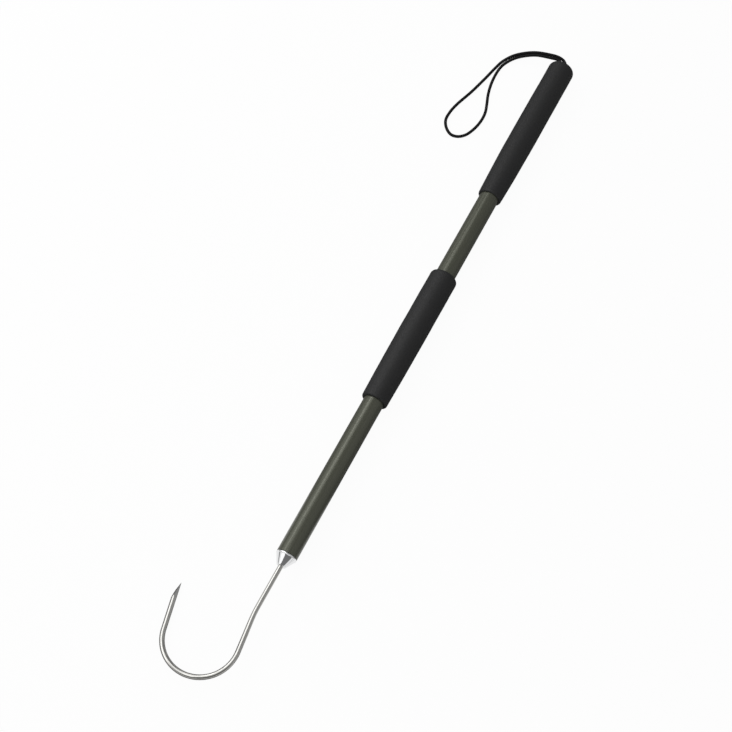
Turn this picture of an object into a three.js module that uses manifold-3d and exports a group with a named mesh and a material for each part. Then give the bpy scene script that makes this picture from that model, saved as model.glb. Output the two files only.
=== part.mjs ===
// Hand gaff: a bent wire hook in a turned nose ferrule, on a straight tube with two foam grips and a
// cord lanyard at the butt. It lies on its grips with the hook rolled down onto the same surface.
// Millimetres. +X runs from the hook to the butt, +Y to the side of the hook's point, +Z up.
// The origin is on the surface, under the middle of the gaff's own box.

import * as THREE from "three";
import { mergeVertices } from "three/addons/utils/BufferGeometryUtils.js";
import Module from "manifold-3d";

const wasm = await Module();
wasm.setup();

// Fits
const seatGap = 0.3;
const joinOverrun = 1;

// Tube, and where the grips lie along it, from the rim at the hook end
const tubeDiameter = 25;
const tubeWall = 1.4;
const tubeChamfer = 0.3;
const bareTubeAhead = 214;
const bareTubeBetween = 132;

// Foam grips: both are round sleeves that thin towards the hook
const gripDiameter = 35;
const foreGripLength = 193;
const foreGripNoseDiameter = 32.5;
const foreGripTaper = 130;
const foreGripTailRound = 4.2;
const rearGripLength = 237;
const rearGripNoseDiameter = 31;
const rearGripTaper = 113;
const rearGripTailRound = 6.5;
const gripNoseRound = 2.6;
const gripEndWall = 8;
const gripHoleRound = 1;

// Hook: shank, kink away from the point, round bend, and a leg that leans out to the point
const wireDiameter = 6;
const kinkStart = 65.7;
const kinkRadius = 150;
const kinkAngle = 6.84;
const kinkToBend = 37;
const bendRadius = 42.3;
const legLean = 13.1;
const legLength = 54.6;

// The point is ground from three sides to a tip at the inside of the leg
const tipFromAxis = 2.9;
const outerBevelLength = 19;
const outerBevelAround = 33;
const sideBevelLength = 21;
const sideBevelAround = 115;

// Nose ferrule
const noseLength = 14.3;
const noseFlangeLength = 2.3;
const noseFlangeChamfer = 0.5;
const noseConeDiameter = 23.6;
const noseEndDiameter = 10.6;
const noseEndRound = 0.5;
const noseSinkDiameter = 8.8;
const noseSinkDepth = 1.6;
const spigotLength = 32;
const spigotChamfer = 1;
const shankInFerrule = 29;

// Seal ring in its groove on the spigot
const ringDiameter = 1.7;
const ringGrooveWidth = 2.4;
const ringFromFlange = 5;

// Spring pin across the spigot and the shank, rolled from strip with an open seam
const pinDiameter = 2.5;
const pinWall = 0.6;
const pinSeam = 0.5;
const pinLength = 20;
const pinFromFlange = 18;

// Butt plug, pushed into the tube, with barbs on its spigot
const plugFlange = 2;
const plugLength = 14;
const plugHoleChamfer = 0.8;
const barbCount = 3;
const barbDepth = 0.7;

// Washer and stopper knot inside the tube
const washerDiameter = 18;
const washerThickness = 1;
const knotTurns = 3;
const knotDiameter = 15;
const knotTail = 9;

// Lanyard cord
const cordDiameter = 3.8;
const strandPlay = 0.9;
const cordSteps = 80;

// Faces: enough that a facet stays under 0.1 mm from the true round
const roundSegments = 48;
const smallSegments = 24;
const wireSides = 16;
const wireSteps = 84;
const cordSides = 8;
const arcSteps = 3;

// The lanyard's route from knot to knot: places beyond the butt's end, beside the pole's axis and
// above the surface. It leaves the butt, drops to the surface, runs round the wrist loop and returns.
const lanyardRoute = [
  [-25.6, -2.05, 17.45],
  [-12, -2.05, 17.45],
  [1.5, -2.05, 17.5],
  [8.5, -0.6, 17.6],
  [12.5, 3.5, 17.6],
  [14, 9, 17.4],
  [13.8, 14.3, 17.1],
  [12.6, 20.1, 16.6],
  [5.9, 42.9, 12.2],
  [-9, 64.1, 6.3],
  [-26.1, 74.8, 3.2],
  [-38.9, 78.4, 2.2],
  [-63.8, 83.3, 2.1],
  [-94.2, 90, 2.1],
  [-123.8, 98.1, 2.1],
  [-140.2, 100.6, 2.1],
  [-153.8, 99.8, 2.1],
  [-164.2, 93.3, 2.1],
  [-169.2, 84.6, 2.1],
  [-167.5, 76.4, 2.1],
  [-159.5, 68.1, 2.1],
  [-144.1, 62, 2.1],
  [-127.4, 59.4, 2.1],
  [-112.5, 60.2, 2.1],
  [-98.7, 64.3, 2.1],
  [-84.6, 69.1, 2.1],
  [-64.3, 73.1, 2.1],
  [-39.8, 73.7, 2.2],
  [-27.6, 70.7, 3.2],
  [-12, 60.9, 6.3],
  [1.9, 40.9, 12.2],
  [7.8, 18.9, 16.6],
  [9.3, 13.6, 17.1],
  [9.1, 8.8, 17.4],
  [6.6, 4.5, 17.45],
  [2, 2.15, 17.45],
  [-12, 2.05, 17.45],
  [-25.6, 2.05, 17.45],
];

// Worked out from the sizes above
const tubeRadius = tubeDiameter / 2;
const tubeBore = tubeRadius - tubeWall;
const gripRadius = gripDiameter / 2;
const wireRadius = wireDiameter / 2;
const spigotRadius = tubeBore - seatGap;
const gripBore = tubeRadius + seatGap;
const strandSpacing = cordDiameter + seatGap;
const plugHoleDiameter = strandSpacing + cordDiameter + strandPlay;
const gripHoleDiameter = plugHoleDiameter + 2 * seatGap;
const foreGripStart = bareTubeAhead;
const rearGripStart = foreGripStart + foreGripLength + bareTubeBetween;
const buttEnd = rearGripStart + rearGripLength;
const plugFace = buttEnd - gripEndWall - seatGap;
const plugSeat = plugFace - plugFlange;
const tubeLength = plugSeat - seatGap;
const plugInner = plugSeat - plugLength;
const axisHeight = gripRadius * Math.cos(Math.PI / roundSegments);

const material = (color, roughness, metalness) =>
  new THREE.MeshStandardMaterial({ color, roughness, metalness });

const steel = () => material(0xb9bab8, 0.28, 1);
const brightAluminium = () => material(0xd6d7d8, 0.22, 1);
const anodised = () => material(0x4b4c40, 0.38, 0.6);
const foam = () => material(0x26282a, 0.9, 0);
const cordBlack = () => material(0x1b1b1c, 0.85, 0);
const rubber = () => material(0x161616, 0.7, 0);
const nylon = () => material(0x2e2f31, 0.6, 0);

const radians = (degrees) => THREE.MathUtils.degToRad(degrees);

function meshOf(name, geometry, look) {
  const mesh = new THREE.Mesh(geometry, look);
  mesh.name = name;
  return mesh;
}

// An outline of places along X and radii is revolved about X, with a facet facing straight down.
function revolve(outline, segments) {
  const points = outline.getPoints(arcSteps).map((p) => new THREE.Vector2(p.y, p.x));
  const turned = new THREE.LatheGeometry(points, segments, Math.PI / segments);
  return turned.rotateZ(-Math.PI / 2);
}

function roundSection(radius, sides) {
  const section = new THREE.Shape();
  for (let i = 0; i < sides; i++) {
    const angle = (2 * Math.PI * (i + 0.5)) / sides;
    const place = [radius * Math.cos(angle), radius * Math.sin(angle)];
    if (i === 0) section.moveTo(...place);
    else section.lineTo(...place);
  }
  section.closePath();
  return section;
}

// A revolved outline that touches its axis has flat faces there, which are left out.
function toSolid(geometry) {
  const bare = geometry.clone();
  bare.deleteAttribute("normal");
  bare.deleteAttribute("uv");
  const merged = mergeVertices(bare);
  const corners = merged.index.array;
  const faces = [];
  for (let i = 0; i < corners.length; i += 3) {
    const [a, b, c] = corners.slice(i, i + 3);
    if (a !== b && b !== c && c !== a) faces.push(a, b, c);
  }
  return new wasm.Manifold(
    new wasm.Mesh({
      numProp: 3,
      vertProperties: new Float32Array(merged.attributes.position.array),
      triVerts: new Uint32Array(faces),
    }),
  );
}

function toGeometry(solid) {
  const mesh = solid.getMesh();
  const geometry = new THREE.BufferGeometry();
  geometry.setAttribute("position", new THREE.BufferAttribute(mesh.vertProperties, 3));
  geometry.setIndex(new THREE.BufferAttribute(mesh.triVerts, 1));
  geometry.computeVertexNormals();
  return geometry;
}

const cut = (geometry, ...tools) =>
  toGeometry(tools.reduce((solid, tool) => solid.subtract(toSolid(tool)), toSolid(geometry)));

const join = (...geometries) =>
  toGeometry(geometries.map(toSolid).reduce((all, solid) => all.add(solid)));

// A path drawn in the XY plane, as a curve in space.
class FlatCurve extends THREE.Curve {
  constructor(path) {
    super();
    this.path = path;
  }

  getPoint(t, target = new THREE.Vector3()) {
    const point = this.path.getPoint(t);
    return target.set(point.x, point.y, 0);
  }
}

// The head's own frame: X from the tube's rim towards the bend, Y towards the point.

// The wire's centreline, and the frame of its point: where the leg's axis ends and which way it leads.
function hookLine() {
  const kink = radians(kinkAngle);
  const lean = radians(legLean);
  const path = new THREE.Path();
  path.moveTo(-shankInFerrule, 0);
  path.lineTo(kinkStart, 0);
  path.absarc(kinkStart, -kinkRadius, kinkRadius, Math.PI / 2, Math.PI / 2 - kink, true);

  const kinkEnd = path.currentPoint.clone();
  const downwards = new THREE.Vector2(Math.cos(kink), -Math.sin(kink));
  const bendStart = kinkEnd.addScaledVector(downwards, kinkToBend);
  path.lineTo(bendStart.x, bendStart.y);

  const bendCentre = bendStart.clone();
  bendCentre.x += bendRadius * Math.sin(kink);
  bendCentre.y += bendRadius * Math.cos(kink);
  path.absarc(bendCentre.x, bendCentre.y, bendRadius, -Math.PI / 2 - kink, Math.PI / 2 - lean, false);

  const ahead = new THREE.Vector2(-Math.cos(lean), Math.sin(lean));
  const legEnd = path.currentPoint.clone().addScaledVector(ahead, legLength);
  path.lineTo(legEnd.x, legEnd.y);
  return { path, legEnd, ahead };
}

// A block whose lower face is one ground facet of the point. The facet runs through the tip and meets
// the wire's skin at the given length behind it, at an angle round the wire from its outer side.
function grindingBlock(line, around, length) {
  const ahead = new THREE.Vector3(line.ahead.x, line.ahead.y, 0);
  const outward = new THREE.Vector3(line.ahead.y, -line.ahead.x, 0);
  if (outward.y < 0) outward.negate();
  const tip = new THREE.Vector3(line.legEnd.x, line.legEnd.y, 0).addScaledVector(outward, -tipFromAxis);

  const angle = radians(around);
  const side = outward.clone().multiplyScalar(Math.cos(angle));
  side.z = Math.sin(angle);
  const rise = wireRadius + tipFromAxis * Math.cos(angle);
  const slope = Math.atan2(rise, length);
  const up = side.clone().multiplyScalar(Math.cos(slope)).addScaledVector(ahead, Math.sin(slope));
  const along = ahead.clone().addScaledVector(up, -ahead.dot(up)).normalize();
  const across = new THREE.Vector3().crossVectors(along, up);

  const reach = length + wireDiameter;
  const block = new THREE.BoxGeometry(2 * reach, wireDiameter, 2 * wireDiameter);
  block.translate(0, wireRadius, 0);
  const stand = new THREE.Matrix4().makeBasis(along, up, across).setPosition(tip);
  return block.applyMatrix4(stand);
}

function crossHole() {
  const hole = new THREE.CylinderGeometry(
    pinDiameter / 2 + seatGap,
    pinDiameter / 2 + seatGap,
    tubeDiameter,
    smallSegments,
  );
  return hole.rotateX(Math.PI / 2).translate(-pinFromFlange, 0, 0);
}

function hook() {
  const line = hookLine();
  const wire = new THREE.ExtrudeGeometry(roundSection(wireRadius, wireSides), {
    steps: wireSteps,
    extrudePath: new FlatCurve(line.path),
  });
  return cut(
    wire,
    crossHole(),
    grindingBlock(line, outerBevelAround, outerBevelLength),
    grindingBlock(line, sideBevelAround, sideBevelLength),
    grindingBlock(line, -sideBevelAround, sideBevelLength),
  );
}

function noseFerrule() {
  const bore = wireRadius + seatGap;
  const coneStart = seatGap + noseFlangeLength;
  const grooveFloor = spigotRadius - ringDiameter - seatGap;
  const grooveNear = -ringFromFlange + ringGrooveWidth / 2;
  const grooveFar = -ringFromFlange - ringGrooveWidth / 2;
  const outline = new THREE.Path();
  outline.moveTo(-spigotLength, bore);
  outline.lineTo(-spigotLength, spigotRadius - spigotChamfer);
  outline.lineTo(-spigotLength + spigotChamfer, spigotRadius);
  outline.lineTo(grooveFar, spigotRadius);
  outline.lineTo(grooveFar, grooveFloor);
  outline.lineTo(grooveNear, grooveFloor);
  outline.lineTo(grooveNear, spigotRadius);
  outline.lineTo(seatGap, spigotRadius);
  outline.lineTo(seatGap, tubeRadius - noseFlangeChamfer);
  outline.lineTo(seatGap + noseFlangeChamfer, tubeRadius);
  outline.lineTo(coneStart - noseFlangeChamfer, tubeRadius);
  outline.lineTo(coneStart, noseConeDiameter / 2);
  outline.lineTo(noseLength - noseEndRound, noseEndDiameter / 2);
  outline.lineTo(noseLength, noseEndDiameter / 2 - noseEndRound);
  outline.lineTo(noseLength, noseSinkDiameter / 2);
  outline.lineTo(noseLength - noseSinkDepth, bore);
  outline.closePath();
  return cut(revolve(outline, roundSegments), crossHole());
}

function sealRing() {
  const outline = new THREE.Path();
  const centre = spigotRadius - ringDiameter / 2;
  outline.absarc(-ringFromFlange, centre, ringDiameter / 2, 2 * Math.PI, 0, true);
  return revolve(outline, smallSegments);
}

function springPin() {
  const outer = pinDiameter / 2;
  const inner = outer - pinWall;
  const outerSeam = Math.asin(pinSeam / 2 / outer);
  const innerSeam = Math.asin(pinSeam / 2 / inner);
  const section = new THREE.Shape();
  section.absarc(0, 0, outer, outerSeam, 2 * Math.PI - outerSeam, false);
  section.absarc(0, 0, inner, 2 * Math.PI - innerSeam, innerSeam, true);
  section.closePath();
  const pin = new THREE.ExtrudeGeometry(section, {
    depth: pinLength,
    bevelEnabled: false,
    curveSegments: smallSegments / 2,
  });
  return pin.translate(-pinFromFlange, 0, -pinLength / 2);
}

// The head is rolled about the pole's axis until the leg of the hook rests beside the grips.
function head() {
  const line = hookLine();
  const restSide = line.legEnd.y - outerBevelLength * line.ahead.y;
  const roll = Math.asin((axisHeight - wireRadius - seatGap) / restSide);
  const group = new THREE.Group();
  group.add(
    meshOf("hook", hook(), steel()),
    meshOf("nose_ferrule", noseFerrule(), brightAluminium()),
    meshOf("ferrule_o_ring", sealRing(), rubber()),
    meshOf("hook_pin", springPin(), steel()),
  );
  group.rotation.set(-roll, Math.PI, 0);
  return group;
}

function tube() {
  const outline = new THREE.Path();
  outline.moveTo(0, tubeBore);
  outline.lineTo(0, tubeRadius - tubeChamfer);
  outline.lineTo(tubeChamfer, tubeRadius);
  outline.lineTo(tubeLength - tubeChamfer, tubeRadius);
  outline.lineTo(tubeLength, tubeRadius - tubeChamfer);
  outline.lineTo(tubeLength, tubeBore);
  outline.closePath();
  return revolve(outline, roundSegments);
}

// Both grips begin alike: a rounded lip, then a long easing up to the full diameter.
function gripNose(noseDiameter, taper) {
  const noseRadius = noseDiameter / 2;
  const round = gripNoseRound;
  const outline = new THREE.Path();
  outline.moveTo(0, gripBore);
  outline.lineTo(0, noseRadius - round);
  outline.absarc(round, noseRadius - round, round, Math.PI, Math.PI / 2, true);
  outline.quadraticCurveTo((round + taper) / 2, gripRadius, taper, gripRadius);
  return outline;
}

function foreGrip() {
  const round = foreGripTailRound;
  const outline = gripNose(foreGripNoseDiameter, foreGripTaper);
  outline.absarc(foreGripLength - round, gripRadius - round, round, Math.PI / 2, 0, true);
  outline.lineTo(foreGripLength, gripBore);
  outline.closePath();
  return revolve(outline, roundSegments);
}

function rearGrip() {
  const hole = gripHoleDiameter / 2;
  const floor = rearGripLength - gripEndWall;
  const round = rearGripTailRound;
  const outline = gripNose(rearGripNoseDiameter, rearGripTaper);
  outline.absarc(rearGripLength - round, gripRadius - round, round, Math.PI / 2, 0, true);
  outline.absarc(
    rearGripLength - gripHoleRound, hole + gripHoleRound, gripHoleRound, 0, -Math.PI / 2, true,
  );
  outline.lineTo(floor, hole);
  outline.lineTo(floor, gripBore);
  outline.closePath();
  return revolve(outline, roundSegments);
}

function buttPlug() {
  const hole = plugHoleDiameter / 2;
  const barbPitch = plugLength / (barbCount + 1);
  const neck = spigotRadius - barbDepth;
  const outline = new THREE.Path();
  outline.moveTo(plugInner, hole);
  for (let i = 0; i < barbCount; i++) {
    outline.lineTo(plugInner + i * barbPitch, neck);
    outline.lineTo(plugInner + (i + 1) * barbPitch, spigotRadius);
  }
  outline.lineTo(plugInner + barbCount * barbPitch, neck);
  outline.lineTo(plugSeat, neck);
  outline.lineTo(plugSeat, tubeRadius);
  outline.lineTo(plugFace, tubeRadius);
  outline.lineTo(plugFace, hole + plugHoleChamfer);
  outline.lineTo(plugFace - plugHoleChamfer, hole);
  outline.closePath();
  return revolve(outline, smallSegments);
}

function knotWasher() {
  const seat = plugInner - seatGap;
  const outline = new THREE.Path();
  outline.moveTo(seat - washerThickness, plugHoleDiameter / 2);
  outline.lineTo(seat - washerThickness, washerDiameter / 2);
  outline.lineTo(seat, washerDiameter / 2);
  outline.lineTo(seat, plugHoleDiameter / 2);
  outline.closePath();
  return revolve(outline, smallSegments);
}

// Both ends of the cord are tied together: turns round the two strands, and their two short tails.
function lanyardKnot() {
  const seat = plugInner - washerThickness - 2 * seatGap;
  const turnRadius = cordDiameter / 2;
  const waist = knotDiameter / 2 - turnRadius;
  const knotStart = seat - knotTurns * cordDiameter;
  const outline = new THREE.Path();
  outline.moveTo(knotStart, 0);
  outline.lineTo(knotStart, waist);
  for (let i = 0; i < knotTurns; i++) {
    const middle = knotStart + (i + 0.5) * cordDiameter;
    outline.absarc(middle, waist, turnRadius, Math.PI, 0, true);
  }
  outline.lineTo(seat, 0);
  const turns = revolve(outline, smallSegments);
  const tails = [-1, 1].map((side) => {
    const tail = new THREE.CylinderGeometry(turnRadius, turnRadius, knotTail + joinOverrun, cordSides);
    tail.rotateZ(Math.PI / 2);
    return tail.translate(knotStart + (joinOverrun - knotTail) / 2, (side * strandSpacing) / 2, 0);
  });
  return join(turns, ...tails);
}

function lanyardCord() {
  const points = lanyardRoute.map(([beyond, beside, above]) =>
    new THREE.Vector3(buttEnd + beyond, beside, above - axisHeight));
  const route = new THREE.CatmullRomCurve3(points, false, "centripetal");
  return new THREE.ExtrudeGeometry(roundSection(cordDiameter / 2, cordSides), {
    steps: cordSteps,
    extrudePath: route,
  });
}

function placedAlong(mesh, start) {
  mesh.position.x = start;
  return mesh;
}

const rigid = [
  head(),
  meshOf("pole_tube", tube(), anodised()),
  placedAlong(meshOf("fore_grip", foreGrip(), foam()), foreGripStart),
  placedAlong(meshOf("rear_grip", rearGrip(), foam()), rearGripStart),
  meshOf("butt_plug", buttPlug(), nylon()),
  meshOf("knot_washer", knotWasher(), steel()),
];
const corded = [
  meshOf("lanyard_knot", lanyardKnot(), cordBlack()),
  meshOf("lanyard_cord", lanyardCord(), cordBlack()),
];

// The pole is stood at its axis height, and the origin goes under the middle of the rigid pieces.
const pole = new THREE.Group();
pole.add(...rigid);
pole.position.z = axisHeight;
const box = new THREE.Box3().setFromObject(pole, true);
const middle = box.getCenter(new THREE.Vector3());
pole.add(...corded);
pole.position.set(-middle.x, -middle.y, axisHeight);

const gaff = new THREE.Group();
gaff.name = "fishing_gaff";
gaff.add(pole);

export default gaff;
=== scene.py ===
"""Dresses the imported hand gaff: steel hook, polished nose, satin tube, foam grips and braided lanyard.

Metres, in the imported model's frame: +X runs from the hook to the butt, +Y to the side of the hook's
point, +Z up from the floor that the gaff lies on.
"""

import math

import bmesh
import bpy
import numpy as np
from mathutils import Matrix, Vector, noise


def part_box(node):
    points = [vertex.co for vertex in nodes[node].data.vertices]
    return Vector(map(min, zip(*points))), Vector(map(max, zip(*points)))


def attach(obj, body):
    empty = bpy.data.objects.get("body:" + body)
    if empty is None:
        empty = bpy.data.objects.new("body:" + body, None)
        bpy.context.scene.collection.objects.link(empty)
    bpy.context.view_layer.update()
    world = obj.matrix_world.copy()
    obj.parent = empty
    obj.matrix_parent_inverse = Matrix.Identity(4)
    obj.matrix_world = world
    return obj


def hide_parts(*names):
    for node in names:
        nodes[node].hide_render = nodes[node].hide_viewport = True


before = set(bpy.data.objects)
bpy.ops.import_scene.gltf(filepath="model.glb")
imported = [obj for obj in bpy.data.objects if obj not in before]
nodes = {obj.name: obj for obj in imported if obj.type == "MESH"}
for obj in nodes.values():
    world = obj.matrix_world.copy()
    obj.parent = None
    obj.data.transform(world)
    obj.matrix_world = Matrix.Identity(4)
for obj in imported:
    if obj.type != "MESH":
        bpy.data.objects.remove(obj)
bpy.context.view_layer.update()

MM = 0.001

# Where the pole is
tube_low, tube_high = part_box("pole_tube")
RIM = tube_low.x
AXIS_Y = (tube_low.y + tube_high.y) / 2
AXIS_Z = (tube_low.z + tube_high.z) / 2
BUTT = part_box("rear_grip")[1].x

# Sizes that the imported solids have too, in millimetres
TUBE_DIAMETER = 25
TUBE_WALL = 1.4
TUBE_CHAMFER = 0.3
GRIP_DIAMETER = 35
GRIP_NOSE_ROUND = 2.6
GRIP_END_WALL = 8
GRIP_HOLE_DIAMETER = 9.4
GRIP_HOLE_ROUND = 1
FORE_GRIP = {"nose": 32.5, "taper": 130, "tail": 4.2}
REAR_GRIP = {"nose": 31, "taper": 113, "tail": 6.5}
WIRE_DIAMETER = 6
SHANK_IN_FERRULE = 29
KINK_START = 65.7
KINK_RADIUS = 150
KINK_ANGLE = math.radians(6.84)
KINK_TO_BEND = 37
BEND_RADIUS = 42.3
LEG_LEAN = math.radians(13.1)
LEG_LENGTH = 54.6
TIP_FROM_AXIS = 2.9
REST_FROM_TIP = 19  # where the leg touches the floor
SIDE_BEVEL_LENGTH = 21
SIDE_BEVEL_AROUND = math.radians(115)
SEAT_GAP = 0.3
NOSE_LENGTH = 14.3
NOSE_FLANGE_LENGTH = 2.3
NOSE_FLANGE_CHAMFER = 0.5
NOSE_CONE_DIAMETER = 23.6
NOSE_END_DIAMETER = 10.6
NOSE_END_ROUND = 0.5
NOSE_SINK_DIAMETER = 8.8
NOSE_SINK_DEPTH = 1.6
SPIGOT_LENGTH = 32
SPIGOT_CHAMFER = 1
RING_DIAMETER = 1.7
RING_GROOVE_WIDTH = 2.4
RING_FROM_FLANGE = 5
PIN_DIAMETER = 2.5
PIN_FROM_FLANGE = 18
KNOT_TURNS = 3
KNOT_DIAMETER = 15
CORD_DIAMETER = 3.8
STRAND_SPACING = 4.1

# Sizes of this scene alone, in millimetres: the outer facet of the point, which faces up here and down
# in the solids, the crowns of the braid, a little proud of the cord, and the foam's seat on the tube
OUTER_BEVEL_LENGTH = 20.5
OUTER_BEVEL_AROUND = math.radians(-28)
SHEATH_DIAMETER = 3.94
GRIP_BORE_RADIUS = TUBE_DIAMETER / 2 + 0.1
GRIP_BORE_EDGE = 0.4

# Unevenness of the foam, in millimetres: the length and height of each wave, and the heights above the
# tube between which it grows from nothing to its full size
FOAM_WAVES = ((28, 0.16), (5.5, 0.05), (1.6, 0.035))
FOAM_HELD = 0.5
FOAM_FREE = 2.5

# The lanyard's line: beyond the butt's end, beside the pole's axis, above the floor, in millimetres
LANYARD = [
    (-25.6, -2.05, 17.45), (-12, -2.05, 17.45), (1.5, -2.05, 17.5), (8.5, -0.6, 17.6),
    (12.5, 3.5, 17.6), (14, 9, 17.4), (13.8, 14.3, 17.1), (12.6, 20.1, 16.6), (5.9, 42.9, 12.2),
    (-9, 64.1, 6.3), (-26.1, 74.8, 3.2), (-38.9, 78.4, 2.2), (-63.8, 83.3, 2.1), (-94.2, 90, 2.1),
    (-123.8, 98.1, 2.1), (-140.2, 100.6, 2.1), (-153.8, 99.8, 2.1), (-164.2, 93.3, 2.1),
    (-169.2, 84.6, 2.1), (-167.5, 76.4, 2.1), (-159.5, 68.1, 2.1), (-144.1, 62, 2.1),
    (-127.4, 59.4, 2.1), (-112.5, 60.2, 2.1), (-98.7, 64.3, 2.1), (-84.6, 69.1, 2.1),
    (-64.3, 73.1, 2.1), (-39.8, 73.7, 2.2), (-27.6, 70.7, 3.2), (-12, 60.9, 6.3), (1.9, 40.9, 12.2),
    (7.8, 18.9, 16.6), (9.3, 13.6, 17.1), (9.1, 8.8, 17.4), (6.6, 4.5, 17.45), (2, 2.15, 17.45),
    (-12, 2.05, 17.45), (-25.6, 2.05, 17.45),
]


def placed(name, data):
    """A new object in the scene."""
    made = bpy.data.objects.new(name, data)
    bpy.context.scene.collection.objects.link(made)
    return made


# Camera

# Where it stands and aims, in millimetres from the middle of the tube's rim
CAMERA_STANDS = Vector((-450.13, -13.02, 1504.44))
CAMERA_AIMS = Vector((249.47, 28.93, 0))
CAMERA_ROLL = math.radians(-29.98)
CAMERA_SENSOR = 36
CAMERA_LENS = 68.85


def place_camera():
    rim = Vector((RIM, AXIS_Y, AXIS_Z))
    stands = rim + CAMERA_STANDS * MM
    ahead = (rim + CAMERA_AIMS * MM - stands).normalized()
    along = Vector((1, 0, 0))
    up = (along - ahead * along.dot(ahead)).normalized()
    up = Matrix.Rotation(CAMERA_ROLL, 3, ahead) @ up
    right = ahead.cross(up)
    data = bpy.data.cameras.new("camera")
    data.sensor_width = CAMERA_SENSOR
    data.lens = CAMERA_LENS
    camera = placed("camera", data)
    turn = Matrix((right, up, -ahead)).transposed()
    camera.matrix_world = Matrix.Translation(stands) @ turn.to_4x4()
    bpy.context.scene.camera = camera


# Materials

def add(tree, kind, inputs=None, **settings):
    """A new shader node. Its inputs are given by name or index, as values or as sockets to link."""
    node = tree.nodes.new(kind)
    for name, value in settings.items():
        setattr(node, name, value)
    for socket, value in (inputs or {}).items():
        if isinstance(value, bpy.types.NodeSocket):
            tree.links.new(value, node.inputs[socket])
        else:
            node.inputs[socket].default_value = value
    return node


def look(name, colour, roughness, **sockets):
    """A new material, its node tree and its shader."""
    material = bpy.data.materials.new(name)
    material.use_nodes = True
    tree = material.node_tree
    shader = tree.nodes["Principled BSDF"]
    shader.inputs["Base Color"].default_value = (*colour, 1)
    shader.inputs["Roughness"].default_value = roughness
    for socket, value in sockets.items():
        shader.inputs[socket.replace("_", " ")].default_value = value
    return material, tree, shader


def scaled(tree, vector, scale):
    return add(tree, "ShaderNodeMapping", {"Vector": vector, "Scale": scale}).outputs["Vector"]


def stretched(tree, scale):
    """The piece's own coordinates, scaled by (x, y, z) a metre."""
    return scaled(tree, add(tree, "ShaderNodeTexCoord").outputs["Object"], scale)


def mapped(tree, name, scale):
    """A UV map in metres, scaled by (along, round, 1)."""
    return scaled(tree, add(tree, "ShaderNodeUVMap", uv_map=name).outputs["UV"], scale)


def grain(tree, vector, detail, roughness=0.5):
    inputs = {"Vector": vector, "Scale": 1.0, "Detail": detail, "Roughness": roughness}
    return add(tree, "ShaderNodeTexNoise", inputs).outputs["Fac"]


def ranged(tree, value, low, high, out_low, out_high):
    inputs = {"Value": value, "From Min": low, "From Max": high, "To Min": out_low, "To Max": out_high}
    return add(tree, "ShaderNodeMapRange", inputs).outputs["Result"]


def blended(tree, share, first, second):
    mix = add(tree, "ShaderNodeMix", data_type="RGBA")
    tree.links.new(share, mix.inputs["Factor"])
    mix.inputs["A"].default_value = (*first, 1)
    mix.inputs["B"].default_value = (*second, 1)
    return mix.outputs["Result"]


def raised(tree, height, depth, strength=1.0, under=None):
    inputs = {"Height": height, "Distance": depth, "Strength": strength}
    if under is not None:
        inputs["Normal"] = under
    return add(tree, "ShaderNodeBump", inputs).outputs["Normal"]


def coloured(tree, shader, share, first, second):
    """Runs the base colour from the first colour to the second."""
    tree.links.new(blended(tree, share, first, second), shader.inputs["Base Color"])


def roughened(tree, shader, share, low, high):
    """Runs the roughness from low to high over the middle of a noise."""
    tree.links.new(ranged(tree, share, 0.3, 0.7, low, high), shader.inputs["Roughness"])


def bumped(tree, shader, height, depth, strength=1.0, under=None):
    """Bumps the surface by a noise of this depth in metres, over the bump under it."""
    tree.links.new(raised(tree, height, depth, strength, under), shader.inputs["Normal"])


def drawn_steel():
    """Stainless wire: fine drawing lines along it and a faint mottle."""
    material, tree, shader = look("drawn_steel", (0.58, 0.575, 0.55), 0.1, Metallic=1.0)
    lines = grain(tree, mapped(tree, "wire", (30, 900, 1)), detail=2)
    mottle = grain(tree, stretched(tree, (420, 420, 420)), detail=4)
    coloured(tree, shader, mottle, (0.53, 0.525, 0.5), (0.63, 0.625, 0.6))
    roughened(tree, shader, mottle, 0.06, 0.12)
    bumped(tree, shader, lines, 0.006 * MM)
    return material


def ground_steel(name, light, dark):
    """The point's facets, with fine marks of the wheel across them."""
    middle = tuple((a + b) / 2 for a, b in zip(light, dark))
    material, tree, shader = look(name, middle, 0.3, Metallic=1.0)
    marks = grain(tree, stretched(tree, (6000, 500, 500)), detail=2)
    coloured(tree, shader, marks, dark, light)
    roughened(tree, shader, marks, 0.22, 0.38)
    bumped(tree, shader, marks, 0.02 * MM)
    return material


def polished_aluminium():
    """Turned and polished: rings of the tool round it, almost buffed away."""
    material, tree, shader = look("polished_aluminium", (0.9, 0.905, 0.91), 0.1, Metallic=1.0)
    rings = grain(tree, stretched(tree, (5000, 0, 0)), detail=2)
    haze = grain(tree, stretched(tree, (300, 300, 300)), detail=4)
    roughened(tree, shader, haze, 0.03, 0.08)
    coloured(tree, shader, haze, (0.87, 0.875, 0.88), (0.93, 0.935, 0.94))
    bumped(tree, shader, rings, 0.002 * MM)
    return material


def satin_tube():
    """Olive anodised tube: faint lines of the drawing along it and a fine grain."""
    material, tree, shader = look(
        "satin_olive", (0.096, 0.1, 0.075), 0.22, Metallic=0.3, Specular_IOR_Level=0.45
    )
    lines = grain(tree, stretched(tree, (14, 1500, 1500)), detail=3)
    speck = grain(tree, stretched(tree, (1400, 1400, 1400)), detail=2)
    coloured(tree, shader, lines, (0.084, 0.088, 0.065), (0.108, 0.112, 0.085))
    roughened(tree, shader, speck, 0.18, 0.27)
    fine = raised(tree, speck, 0.006 * MM)
    bumped(tree, shader, lines, 0.012 * MM, under=fine)
    return material


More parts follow.
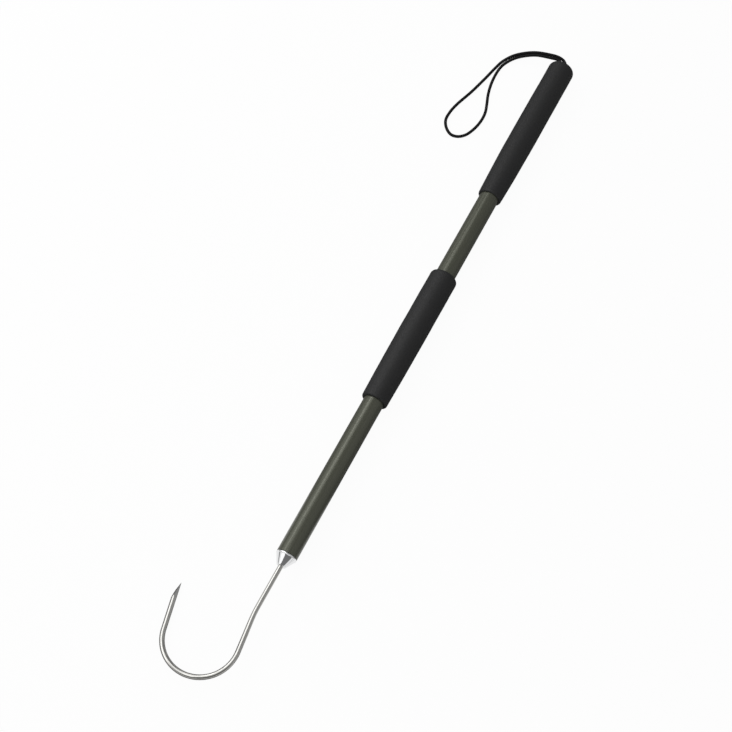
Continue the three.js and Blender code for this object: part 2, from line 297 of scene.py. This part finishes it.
def foam():
    """Closed-cell foam with a moulded skin: fine pores and a soft leathery grain."""
    material, tree, shader = look("grip_foam", (0.0132, 0.0134, 0.0139), 0.64, Specular_IOR_Level=0.5)
    pore_places = {"Vector": stretched(tree, (1500, 1500, 1500)), "Scale": 1.0}
    cells = add(tree, "ShaderNodeTexVoronoi", pore_places).outputs["Distance"]
    leather = grain(tree, stretched(tree, (650, 650, 650)), detail=5, roughness=0.6)
    patches = grain(tree, stretched(tree, (45, 45, 45)), detail=4)
    coloured(tree, shader, patches, (0.0116, 0.0118, 0.0122), (0.0148, 0.015, 0.0156))
    roughened(tree, shader, leather, 0.54, 0.74)
    pores = raised(tree, ranged(tree, cells, 0.0, 0.5, 0.0, 1.0), 0.05 * MM, 0.8)
    bumped(tree, shader, leather, 0.12 * MM, 0.8, under=pores)
    return material


def braid():
    """Polyester sheath: matt fibres that run with the cord's strands."""
    material, tree, shader = look("black_braid", (0.009, 0.009, 0.0095), 0.75, Specular_IOR_Level=0.2)
    fibres = grain(tree, mapped(tree, "cord", (3500, 10, 1)), detail=3)
    coloured(tree, shader, fibres, (0.005, 0.005, 0.0053), (0.013, 0.013, 0.0138))
    roughened(tree, shader, fibres, 0.62, 0.85)
    bumped(tree, shader, fibres, 0.03 * MM)
    return material


def moulded(name, colour, roughness, cell):
    """Plain moulded rubber or nylon with the grain of its mould."""
    material, tree, shader = look(name, colour, roughness)
    skin = grain(tree, stretched(tree, (cell, cell, cell)), detail=4)
    uneven_colour, uneven_gloss = 0.2, 0.08
    darker = tuple((1 - uneven_colour) * c for c in colour)
    lighter = tuple((1 + uneven_colour) * c for c in colour)
    coloured(tree, shader, skin, darker, lighter)
    roughened(tree, shader, skin, roughness - uneven_gloss, roughness + uneven_gloss)
    bumped(tree, shader, skin, 0.02 * MM)
    return material


def pressed_steel():
    """Strip and washer steel, rolled smooth."""
    material, tree, shader = look("pressed_steel", (0.5, 0.5, 0.49), 0.3, Metallic=1.0)
    rolled = grain(tree, stretched(tree, (700, 700, 2500)), detail=3)
    coloured(tree, shader, rolled, (0.42, 0.42, 0.41), (0.56, 0.56, 0.55))
    roughened(tree, shader, rolled, 0.24, 0.4)
    return material


# Meshes

def piece(name, vertices, faces, materials, node, sharp=30):
    """A smooth piece that stands for a node, with edges sharper than an angle in degrees kept crisp."""
    mesh = bpy.data.meshes.new(name)
    mesh.from_pydata([tuple(v) for v in vertices], [], faces)
    mesh.validate()
    work = bmesh.new()
    work.from_mesh(mesh)
    bmesh.ops.recalc_face_normals(work, faces=work.faces)
    work.to_mesh(mesh)
    work.free()
    for material in materials:
        mesh.materials.append(material)
    mesh.shade_smooth()
    mesh.set_sharp_from_angle(angle=math.radians(sharp))
    made = placed(name, mesh)
    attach(made, "root")
    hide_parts(node)
    return made


def rounded(corners, steps=6):
    """A closed outline of (x, radius, fillet) corners, in millimetres, with its fillets as arcs."""
    line = []
    count = len(corners)
    for i, (x, r, fillet) in enumerate(corners):
        here = Vector((x, r))
        if fillet <= 0:
            line.append(here)
            continue
        before = (Vector(corners[i - 1][:2]) - here).normalized()
        after = (Vector(corners[(i + 1) % count][:2]) - here).normalized()
        half = before.angle(after) / 2
        reach = fillet / math.tan(half)
        middle = (before + after).normalized() * (fillet / math.sin(half)) + here
        first, last = here + before * reach, here + after * reach
        start = math.atan2(first.y - middle.y, first.x - middle.x)
        sweep = math.atan2(last.y - middle.y, last.x - middle.x) - start
        sweep = (sweep + math.pi) % (2 * math.pi) - math.pi
        for k in range(steps + 1):
            a = start + sweep * k / steps
            line.append(middle + Vector((math.cos(a), math.sin(a))) * fillet)
    return line


def divided(line, longest):
    """The closed outline with no step longer than this, in millimetres."""
    fine = []
    for here, there in zip(line, line[1:] + line[:1]):
        parts = max(1, math.ceil((there - here).length / longest))
        fine += [here.lerp(there, k / parts) for k in range(parts)]
    return fine


def turned(line, around, start_x, swell=None):
    """Vertices and faces of a closed outline turned about the pole's axis, none below the floor."""
    angles = np.arange(around) * 2 * math.pi / around
    points = np.array([(p.x, p.y) for p in line])
    x = np.repeat((start_x + points[:, 0] * MM)[:, None], around, 1)
    r = np.repeat(points[:, 1:2], around, 1)
    if swell is not None:
        r = r + swell(points, angles)
    y = AXIS_Y + r * MM * np.sin(angles)
    z = np.maximum(AXIS_Z - r * MM * np.cos(angles), 0)
    vertices = np.stack([x, y, z], -1).reshape(-1, 3)
    return vertices, grid_faces(len(points), around, True)


def grid_faces(rows, columns, rows_close):
    """Faces between rows of vertices that each close on themselves."""
    faces = []
    for i in range(rows if rows_close else rows - 1):
        for k in range(columns):
            j, m = (i + 1) % rows, (k + 1) % columns
            faces.append((i * columns + k, i * columns + m, j * columns + m, j * columns + k))
    return faces


def swept(centres, sides, radius):
    """A round rod along centres: vertices by ring, faces, and each ring's distance along the line."""
    centres = np.asarray(centres, float)
    tangents = np.gradient(centres, axis=0)
    tangents /= np.linalg.norm(tangents, axis=1)[:, None]
    across = np.cross(tangents[0], (0.0, 0.0, 1.0))
    across /= np.linalg.norm(across)
    run = np.concatenate([[0], np.cumsum(np.linalg.norm(np.diff(centres, axis=0), axis=1))])
    angles = np.arange(sides) * 2 * math.pi / sides
    rings = []
    for place, ahead, along in zip(centres, tangents, run):
        across = across - ahead * across.dot(ahead)
        across /= np.linalg.norm(across)
        up = np.cross(ahead, across)
        r = radius(angles, along) if callable(radius) else np.full(sides, radius)
        around = np.cos(angles)[:, None] * across + np.sin(angles)[:, None] * up
        rings.append(place + r[:, None] * around)
    faces = grid_faces(len(rings), sides, False)
    last = (len(rings) - 1) * sides
    faces += [tuple(range(sides))[::-1], tuple(range(last, last + sides))]
    return np.concatenate(rings), faces, run


def map_rod(mesh, name, run, sides, turn_length):
    """A UV map of a swept rod: distance along it, and distance round it, in metres."""
    layer = mesh.uv_layers.new(name=name)
    for polygon in mesh.polygons:
        columns = [mesh.loops[i].vertex_index % sides for i in polygon.loop_indices]
        wraps = max(columns) - min(columns) > sides / 2 and len(columns) == 4
        for i, column in zip(polygon.loop_indices, columns):
            ring = mesh.loops[i].vertex_index // sides
            round_share = (column + sides if wraps and column == 0 else column) / sides
            layer.data[i].uv = (run[min(ring, len(run) - 1)], round_share * turn_length)


# Hook

def hook_line():
    """The wire's flat centreline in the head's own frame, in millimetres, and where its tip points."""
    points = [Vector((-SHANK_IN_FERRULE, 0))]
    straight_step, arc_step = 1.5, 1.2

    def straight(to):
        start = points[-1].copy()
        parts = math.ceil((to - start).length / straight_step)
        points.extend(start.lerp(to, k / parts) for k in range(1, parts + 1))

    def arc(centre, radius, start, stop):
        parts = math.ceil(abs(stop - start) * radius / arc_step)
        for k in range(1, parts + 1):
            a = start + (stop - start) * k / parts
            points.append(centre + Vector((math.cos(a), math.sin(a))) * radius)

    straight(Vector((KINK_START, 0)))
    quarter = math.pi / 2
    arc(Vector((KINK_START, -KINK_RADIUS)), KINK_RADIUS, quarter, quarter - KINK_ANGLE)
    straight(points[-1] + Vector((math.cos(KINK_ANGLE), -math.sin(KINK_ANGLE))) * KINK_TO_BEND)
    centre = points[-1] + Vector((math.sin(KINK_ANGLE), math.cos(KINK_ANGLE))) * BEND_RADIUS
    arc(centre, BEND_RADIUS, -quarter - KINK_ANGLE, quarter - LEG_LEAN)
    ahead = Vector((-math.cos(LEG_LEAN), math.sin(LEG_LEAN)))
    straight(points[-1] + ahead * LEG_LENGTH)
    return points, ahead


def grind(work, tip, ahead, outward, around, length, slot):
    """Cuts one facet of the point and fills it with the material of that slot."""
    side = outward * math.cos(around) + Vector((0, 0, 1)) * math.sin(around)
    rise = WIRE_DIAMETER / 2 + TIP_FROM_AXIS * math.cos(around)
    slope = math.atan2(rise, length)
    up = side * math.cos(slope) + ahead * math.sin(slope)
    near = {v for v in work.verts if (v.co - tip * MM).length < (length + 2 * WIRE_DIAMETER) * MM}
    leg = list(near)
    leg += [e for e in work.edges if all(v in near for v in e.verts)]
    leg += [f for f in work.faces if all(v in near for v in f.verts)]
    cut = bmesh.ops.bisect_plane(
        work, geom=leg, dist=1e-6, plane_co=tip * MM, plane_no=up, clear_outer=True
    )
    edges = [e for e in cut["geom_cut"] if isinstance(e, bmesh.types.BMEdge)]
    filled = bmesh.ops.edgenet_fill(work, edges=edges)
    for face in filled["faces"]:
        face.material_index = slot
        face.smooth = False


def head_place(ahead, leg_end):
    """The head's own frame, rolled about the pole's axis until the leg rests on the floor."""
    rest_side = leg_end.y - REST_FROM_TIP * ahead.y
    roll = math.asin((AXIS_Z / MM - WIRE_DIAMETER / 2 - SEAT_GAP) / rest_side)
    stand = Matrix.Translation((RIM, AXIS_Y, AXIS_Z))
    return stand @ Matrix.Rotation(-roll, 4, "X") @ Matrix.Rotation(math.pi, 4, "Y")


def make_hook(steel, side_facets, outer_facet):
    """The wire with its ground point. Also the place of the head, for the nose that holds it."""
    points, flat_ahead = hook_line()
    centres = [(p.x * MM, p.y * MM, 0) for p in points]
    sides = 48
    vertices, faces, run = swept(centres, sides, WIRE_DIAMETER / 2 * MM)
    looks = [steel, side_facets, outer_facet]
    side_slot, outer_slot = 1, 2
    made = piece("hook_wire", vertices, faces, looks, "hook", sharp=25)
    mesh = made.data
    map_rod(mesh, "wire", run, sides, math.pi * WIRE_DIAMETER * MM)

    ahead = flat_ahead.to_3d()
    outward = Vector((flat_ahead.y, -flat_ahead.x, 0))
    if outward.y < 0:
        outward.negate()
    tip = points[-1].to_3d() - outward * TIP_FROM_AXIS
    work = bmesh.new()
    work.from_mesh(mesh)
    # The outer facet takes the darker copy of the ground steel, which is painted shade.
    grind(work, tip, ahead, outward, OUTER_BEVEL_AROUND, OUTER_BEVEL_LENGTH, outer_slot)
    grind(work, tip, ahead, outward, SIDE_BEVEL_AROUND, SIDE_BEVEL_LENGTH, side_slot)
    grind(work, tip, ahead, outward, -SIDE_BEVEL_AROUND, SIDE_BEVEL_LENGTH, side_slot)
    work.to_mesh(mesh)
    work.free()
    mesh.set_sharp_from_angle(angle=math.radians(12))
    place = head_place(flat_ahead, points[-1])
    bore(made)
    made.data.transform(place)
    return place


def bore(made):
    """Drills the spring pin's cross hole into a piece that is still in the head's own frame."""
    work = bmesh.new()
    radius = (PIN_DIAMETER / 2 + SEAT_GAP) * MM
    bmesh.ops.create_cone(
        work, cap_ends=True, segments=32, radius1=radius, radius2=radius, depth=TUBE_DIAMETER * MM
    )
    drill_mesh = bpy.data.meshes.new("drill")
    work.to_mesh(drill_mesh)
    work.free()
    drill = placed("drill", drill_mesh)
    drill.matrix_world = Matrix.Translation((-PIN_FROM_FLANGE * MM, 0, 0))
    cutter = made.modifiers.new("hole", "BOOLEAN")
    cutter.object = drill
    cutter.operation = "DIFFERENCE"
    cutter.solver = "EXACT"
    graph = bpy.context.evaluated_depsgraph_get()
    drilled = bpy.data.meshes.new_from_object(
        made.evaluated_get(graph), preserve_all_data_layers=True, depsgraph=graph
    )
    made.modifiers.clear()
    made.data = drilled
    bpy.data.objects.remove(drill)


# Nose ferrule and tube

def make_nose(material, place):
    bore_radius = WIRE_DIAMETER / 2 + SEAT_GAP
    spigot = TUBE_DIAMETER / 2 - TUBE_WALL - SEAT_GAP
    groove_floor = spigot - RING_DIAMETER - SEAT_GAP
    cone_start = SEAT_GAP + NOSE_FLANGE_LENGTH
    edge, longest, around = 0.12, 1.5, 160
    outline = rounded([
        (-SPIGOT_LENGTH, bore_radius, 0),
        (-SPIGOT_LENGTH, spigot - SPIGOT_CHAMFER, edge),
        (-SPIGOT_LENGTH + SPIGOT_CHAMFER, spigot, edge),
        (-RING_FROM_FLANGE - RING_GROOVE_WIDTH / 2, spigot, edge),
        (-RING_FROM_FLANGE - RING_GROOVE_WIDTH / 2, groove_floor, edge),
        (-RING_FROM_FLANGE + RING_GROOVE_WIDTH / 2, groove_floor, edge),
        (-RING_FROM_FLANGE + RING_GROOVE_WIDTH / 2, spigot, edge),
        (SEAT_GAP, spigot, edge),
        (SEAT_GAP, TUBE_DIAMETER / 2 - NOSE_FLANGE_CHAMFER, edge),
        (SEAT_GAP + NOSE_FLANGE_CHAMFER, TUBE_DIAMETER / 2, edge),
        (cone_start - NOSE_FLANGE_CHAMFER, TUBE_DIAMETER / 2, edge),
        (cone_start, NOSE_CONE_DIAMETER / 2, edge),
        (NOSE_LENGTH, NOSE_END_DIAMETER / 2, NOSE_END_ROUND),
        (NOSE_LENGTH, NOSE_SINK_DIAMETER / 2, edge),
        (NOSE_LENGTH - NOSE_SINK_DEPTH, bore_radius, edge),
    ], steps=4)
    vertices, faces = turned(divided(outline, longest), around, 0)
    vertices = vertices - np.array((0, AXIS_Y, AXIS_Z))
    made = piece("nose_turning", vertices, faces, [material], "nose_ferrule")
    bore(made)
    made.data.transform(place)


def make_tube(material):
    length = (tube_high.x - tube_low.x) / MM
    outer, inner = TUBE_DIAMETER / 2, TUBE_DIAMETER / 2 - TUBE_WALL
    edge, longest, around = 0.1, 12, 144
    outline = rounded([
        (0, inner, edge),
        (0, outer, TUBE_CHAMFER),
        (length, outer, TUBE_CHAMFER),
        (length, inner, edge),
    ])
    vertices, faces = turned(divided(outline, longest), around, RIM)
    piece("tube_satin", vertices, faces, [material], "pole_tube")


# Foam grips

def foam_swell(start_x):
    """Unevenness of a foam sleeve, in millimetres: none at the tube, most on the outside."""

    def swell(points, angles):
        out = np.zeros((len(points), len(angles)))
        for i, (x, r) in enumerate(points):
            freed = (r - TUBE_DIAMETER / 2 - FOAM_HELD) / (FOAM_FREE - FOAM_HELD)
            share = min(1.0, max(0.0, freed))
            if share <= 0:
                continue
            for k, a in enumerate(angles):
                at = Vector((start_x + x, r * math.sin(a), r * math.cos(a)))
                out[i, k] = share * sum(noise.noise(at / wave) * height for wave, height in FOAM_WAVES)
        return out

    return swell


def grip_outline(kind, tail):
    """The outer line of a grip from its thin end: lip, easing, straight, and the tail's corners."""
    lip, nose_radius, full = GRIP_NOSE_ROUND, kind["nose"] / 2, GRIP_DIAMETER / 2
    lip_steps, easing_steps = 8, 60
    line = [Vector((GRIP_BORE_EDGE, GRIP_BORE_RADIUS)), Vector((0, GRIP_BORE_RADIUS + GRIP_BORE_EDGE))]
    for k in range(1, lip_steps + 1):
        a = math.pi / 2 * k / lip_steps
        line.append(Vector((lip * (1 - math.cos(a)), nose_radius - lip + lip * math.sin(a))))
    first, last = Vector((lip, nose_radius)), Vector((kind["taper"], full))
    middle = Vector(((lip + kind["taper"]) / 2, full))
    for k in range(1, easing_steps + 1):
        t = k / easing_steps
        line.append(first * (1 - t) ** 2 + middle * 2 * t * (1 - t) + last * t * t)
    return line + tail


def make_grip(name, node, kind, tail, material):
    low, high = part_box(node)
    longest, around = 0.62, 176
    line = divided(grip_outline(kind, tail((high.x - low.x) / MM)), longest)
    vertices, faces = turned(line, around, low.x, swell=foam_swell(low.x / MM))
    made = piece(name, vertices, faces, [material], node, sharp=60)


def quarter_round(x, r, radius, start, stop, steps=10):
    """An arc about (x, r), in millimetres, from one angle to the other."""
    out = []
    for k in range(steps + 1):
        a = start + (stop - start) * k / steps
        out.append(Vector((x + radius * math.cos(a), r + radius * math.sin(a))))
    return out


def tail_corner(length, radius):
    return quarter_round(length - radius, GRIP_DIAMETER / 2 - radius, radius, math.pi / 2, 0)


def fore_tail(length):
    corner = tail_corner(length, FORE_GRIP["tail"])
    edge = Vector((length, GRIP_BORE_RADIUS + GRIP_BORE_EDGE))
    return corner + [edge, Vector((length - GRIP_BORE_EDGE, GRIP_BORE_RADIUS))]


def rear_tail(length):
    hole, lip = GRIP_HOLE_DIAMETER / 2, GRIP_HOLE_ROUND
    corner = tail_corner(length, REAR_GRIP["tail"])
    inner = quarter_round(length - lip, hole + lip, lip, 0, -math.pi / 2, steps=5)
    floor = length - GRIP_END_WALL
    return corner + inner + [Vector((floor, hole)), Vector((floor, GRIP_BORE_RADIUS))]


# Lanyard

def between(t, start, first, stop, last):
    """The point at t on the line that is at first when t is start, and at last when t is stop."""
    return (stop - t) / (stop - start) * first + (t - start) / (stop - start) * last


def lanyard_points(step):
    """The lanyard's centreline as a centripetal Catmull-Rom curve, resampled evenly, in metres."""
    points = [np.array((BUTT + x * MM, AXIS_Y + y * MM, z * MM)) for x, y, z in LANYARD]
    points = [2 * points[0] - points[1], *points, 2 * points[-1] - points[-2]]
    samples = 60
    dense = []
    for p0, p1, p2, p3 in zip(points, points[1:], points[2:], points[3:]):
        t0 = 0.0
        t1 = t0 + math.sqrt(np.linalg.norm(p1 - p0))
        t2 = t1 + math.sqrt(np.linalg.norm(p2 - p1))
        t3 = t2 + math.sqrt(np.linalg.norm(p3 - p2))
        for t in np.linspace(t1, t2, samples, endpoint=False):
            a1 = between(t, t0, p0, t1, p1)
            a2 = between(t, t1, p1, t2, p2)
            a3 = between(t, t2, p2, t3, p3)
            b1 = between(t, t0, a1, t2, a2)
            b2 = between(t, t1, a2, t3, a3)
            dense.append(between(t, t1, b1, t2, b2))
    dense.append(points[-2])
    return evenly(np.array(dense), step)


def evenly(line, step):
    """The line again, as points about one step apart."""
    run = np.concatenate([[0], np.cumsum(np.linalg.norm(np.diff(line, axis=0), axis=1))])
    marks = np.linspace(0, run[-1], max(2, round(run[-1] / step) + 1))
    return np.stack([np.interp(marks, run, line[:, i]) for i in range(3)], -1)


def braided(radius):
    """The radius of a sheath of crossing strands, for angles round it and a distance along it."""
    strands, pitch, depth = 8, 2.6 * MM, 0.07

    def at(angles, along):
        one = strands * angles / (2 * math.pi) + along / pitch
        other = strands * angles / (2 * math.pi) - along / pitch
        over = (np.floor(one) + np.floor(other)) % 2 < 1
        top = np.where(over, one, other) % 1.0
        return radius * (1 - depth + depth * np.sqrt(np.sin(math.pi * top)))

    return at


def make_lanyard(material):
    step, sides, path_every = 0.32 * MM, 40, 6
    centres = lanyard_points(step)
    vertices, faces, run = swept(centres, sides, braided(SHEATH_DIAMETER / 2 * MM))
    cord = piece("lanyard_braid", vertices, faces, [material], "lanyard_cord", sharp=80)
    map_rod(cord.data, "cord", run, sides, math.pi * CORD_DIAMETER * MM)
    knot = make_knot(material)


def make_knot(material):
    """A stopper knot: turns of the cord's own end round both strands, and the two cut tails."""
    low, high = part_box("lanyard_knot")
    waist = (KNOT_DIAMETER - CORD_DIAMETER) / 2 * MM
    turns_start = high.x - KNOT_TURNS * CORD_DIAMETER * MM
    turn_steps, tail_steps, unturned, sides, step = 40, 30, 0.6, 24, 0.5 * MM
    helix = []
    for k in range(turn_steps * KNOT_TURNS + 1):
        share = k / (turn_steps * KNOT_TURNS)
        a = share * (KNOT_TURNS * 2 * math.pi - unturned)
        x = turns_start + CORD_DIAMETER / 2 * MM + share * (KNOT_TURNS - 1) * CORD_DIAMETER * MM
        helix.append((x, AXIS_Y + waist * math.sin(a), AXIS_Z + waist * math.cos(a)))
    lines = [helix]
    for side in (-1, 1):
        y = AXIS_Y + side * STRAND_SPACING / 2 * MM
        lines.append([(x, y, AXIS_Z) for x in np.linspace(low.x, high.x, tail_steps)])
    vertices, faces, spans, total = [], [], [], 0
    for line in lines:
        line = evenly(np.array(line), step)
        more, more_faces, run = swept(line, sides, braided(CORD_DIAMETER / 2 * MM))
        faces += [tuple(i + total for i in face) for face in more_faces]
        vertices.append(more)
        spans += list(run)
        total += len(more)
    vertices = np.concatenate(vertices)
    made = piece("lanyard_stopper", vertices, faces, [material], "lanyard_knot", sharp=80)
    map_rod(made.data, "cord", spans, sides, math.pi * CORD_DIAMETER * MM)
    return made


# Studio

STUDIO_CENTRE = Vector((-0.25, AXIS_Y, 0))

# Lamps: azimuth from +X and elevation in degrees, distance, width and height in metres, and radiance
LAMPS = {
    "broad_softbox": (105, 46, 1.9, 2.6, 2.0, 0.95),
    "strip_softbox": (88, 41, 1.85, 2.7, 0.35, 1.9),
    "end_softbox": (42, 40, 1.85, 0.8, 0.8, 1.2),
    "key_softbox": (60, 28, 1.75, 0.8, 0.65, 0.5),
    "low_softbox": (62, 10, 1.75, 1.6, 0.5, 0.55),
    "overhead_softbox": (105, 77, 1.85, 1.0, 0.7, 0.65),
    "far_softbox": (292, 42, 1.9, 1.6, 2.0, 0.15),
}

# Floor: its colour to light and to the camera, the share of plain white that the camera sees, and the
# share that mirrors see inside and outside two patches, each a centre and a radius in metres: one round
# the nose and one on its far side
FLOOR_HALF = 6.0
FLOOR_BOUNCE = 0.3
FLOOR_SEEN = 0.95
CAMERA_SHARE = 0.96
MIRROR_SHARE = 0.85
MIRROR_REST = 0.05
MIRROR_FADE = 0.04
WHITE_IN_MIRRORS = [((RIM, AXIS_Y, 0), 0.07), ((RIM - 0.12, AXIS_Y - 0.3, 0), 0.2)]

# Room: a white sweep that rises from the floor past the hook and fades out over a range of the
# direction's Z and one of its X, under a dim room that grows dimmer towards the hook over a range of X
SWEEP_LEVEL = 0.85
SWEEP_TOP = (0.24, 0.35)
SWEEP_END = (-0.1, 0.15)
ROOM_LEVEL = 0.27
ROOM_HOOK_LEVEL = 0.6 * ROOM_LEVEL
ROOM_TURN = (-0.6, 0.1)


def softbox(name, azimuth, elevation, distance, width, height, radiance):
    """A lamp that faces the studio's centre."""
    side, rise = math.radians(azimuth), math.radians(elevation)
    away = Vector((math.cos(rise) * math.cos(side), math.cos(rise) * math.sin(side), math.sin(rise)))
    across = Vector((-math.sin(side), math.cos(side), 0))
    data = bpy.data.lights.new(name, "AREA")
    data.shape = "RECTANGLE"
    data.size, data.size_y = width, height
    data.energy = math.pi * width * height * radiance
    lamp = placed(name, data)
    turn = Matrix((across, away.cross(across), away)).transposed()
    lamp.matrix_world = Matrix.Translation(STUDIO_CENTRE + away * distance) @ turn.to_4x4()


def reckoned(tree, operation, *values):
    return add(tree, "ShaderNodeMath", dict(enumerate(values)), operation=operation).outputs[0]


def white_near(tree, place, centre, reach):
    """The share of white that a mirror sees in the floor, at its most within reach of the centre."""
    away = add(tree, "ShaderNodeVectorMath", {0: place, 1: centre}, operation="DISTANCE")
    fade = (reach, reach + MIRROR_FADE, MIRROR_SHARE, MIRROR_REST)
    return ranged(tree, away.outputs["Value"], *fade)


def make_floor():
    """A pale floor that keeps the shadow: nearly white to the camera, and in its patches to mirrors."""
    material = bpy.data.materials.new("pale_floor")
    material.use_nodes = True
    tree = material.node_tree
    tree.nodes.remove(tree.nodes["Principled BSDF"])
    path = add(tree, "ShaderNodeLightPath")
    seen = path.outputs["Is Camera Ray"]
    colour = ranged(tree, seen, 0, 1, FLOOR_BOUNCE, FLOOR_SEEN)
    matt = add(tree, "ShaderNodeBsdfDiffuse", {"Color": colour}).outputs["BSDF"]
    glow = {"Color": (1, 1, 1, 1), "Strength": 1.0}
    white = add(tree, "ShaderNodeEmission", glow).outputs["Emission"]
    place = add(tree, "ShaderNodeTexCoord").outputs["Object"]
    patches = [white_near(tree, place, centre, reach) for centre, reach in WHITE_IN_MIRRORS]
    rays = reckoned(tree, "ADD", path.outputs["Is Glossy Ray"], path.outputs["Is Transmission Ray"])
    mirrored = reckoned(tree, "MULTIPLY", rays, reckoned(tree, "MAXIMUM", *patches))
    share = reckoned(tree, "MULTIPLY_ADD", seen, CAMERA_SHARE, mirrored)
    mix = add(tree, "ShaderNodeMixShader", {0: share, 1: matt, 2: white}).outputs["Shader"]
    tree.links.new(mix, tree.nodes["Material Output"].inputs["Surface"])
    mesh = bpy.data.meshes.new("floor")
    corners = [(-1, -1), (1, -1), (1, 1), (-1, 1)]
    mesh.from_pydata([(x * FLOOR_HALF, y * FLOOR_HALF, 0) for x, y in corners], [], [(0, 1, 2, 3)])
    mesh.materials.append(material)
    placed("floor", mesh)


def make_world():
    """White to the camera, and the sweep and the room to everything else."""
    world = bpy.data.worlds.new("studio")
    bpy.context.scene.world = world
    world.use_nodes = True
    tree = world.node_tree
    ahead = add(tree, "ShaderNodeTexCoord").outputs["Generated"]
    toward = add(tree, "ShaderNodeSeparateXYZ", {"Vector": ahead}).outputs
    low = ranged(tree, toward["Z"], *SWEEP_TOP, 1, 0)
    past_hook = ranged(tree, toward["X"], *SWEEP_END, 1, 0)
    room = ranged(tree, toward["X"], *ROOM_TURN, ROOM_HOOK_LEVEL, ROOM_LEVEL)
    walls = ranged(tree, reckoned(tree, "MULTIPLY", low, past_hook), 0, 1, room, SWEEP_LEVEL)
    seen = add(tree, "ShaderNodeLightPath").outputs["Is Camera Ray"]
    back = tree.nodes["Background"]
    back.inputs["Color"].default_value = (1, 1, 1, 1)
    tree.links.new(ranged(tree, seen, 0, 1, walls, 1), back.inputs["Strength"])


def light_studio():
    for name, place_and_size in LAMPS.items():
        softbox(name, *place_and_size)
    make_floor()
    make_world()
    bpy.context.scene.view_settings.view_transform = "Standard"


# Assembly

def repaint(node, material):
    for material_slot in nodes[node].material_slots:
        material_slot.material = material


place_camera()
light_studio()

side_look = ground_steel("ground_steel", (0.66, 0.66, 0.65), (0.48, 0.48, 0.47))
# The outer facet gets a darker copy of the ground steel: painted shade standing in for the dark
# reflection this facet shows.
painted_shade_look = ground_steel("shade_painted_steel", (0.26, 0.255, 0.24), (0.16, 0.155, 0.15))
foam_look = foam()
head = make_hook(drawn_steel(), side_look, painted_shade_look)
make_nose(polished_aluminium(), head)
make_tube(satin_tube())
make_grip("fore_grip_foam", "fore_grip", FORE_GRIP, fore_tail, foam_look)
make_grip("rear_grip_foam", "rear_grip", REAR_GRIP, rear_tail, foam_look)
make_lanyard(braid())
repaint("ferrule_o_ring", moulded("seal_rubber", (0.012, 0.012, 0.012), 0.6, 900))
repaint("butt_plug", moulded("black_nylon", (0.03, 0.03, 0.032), 0.5, 1200))
strip_steel = pressed_steel()
repaint("hook_pin", strip_steel)
repaint("knot_washer", strip_steel)
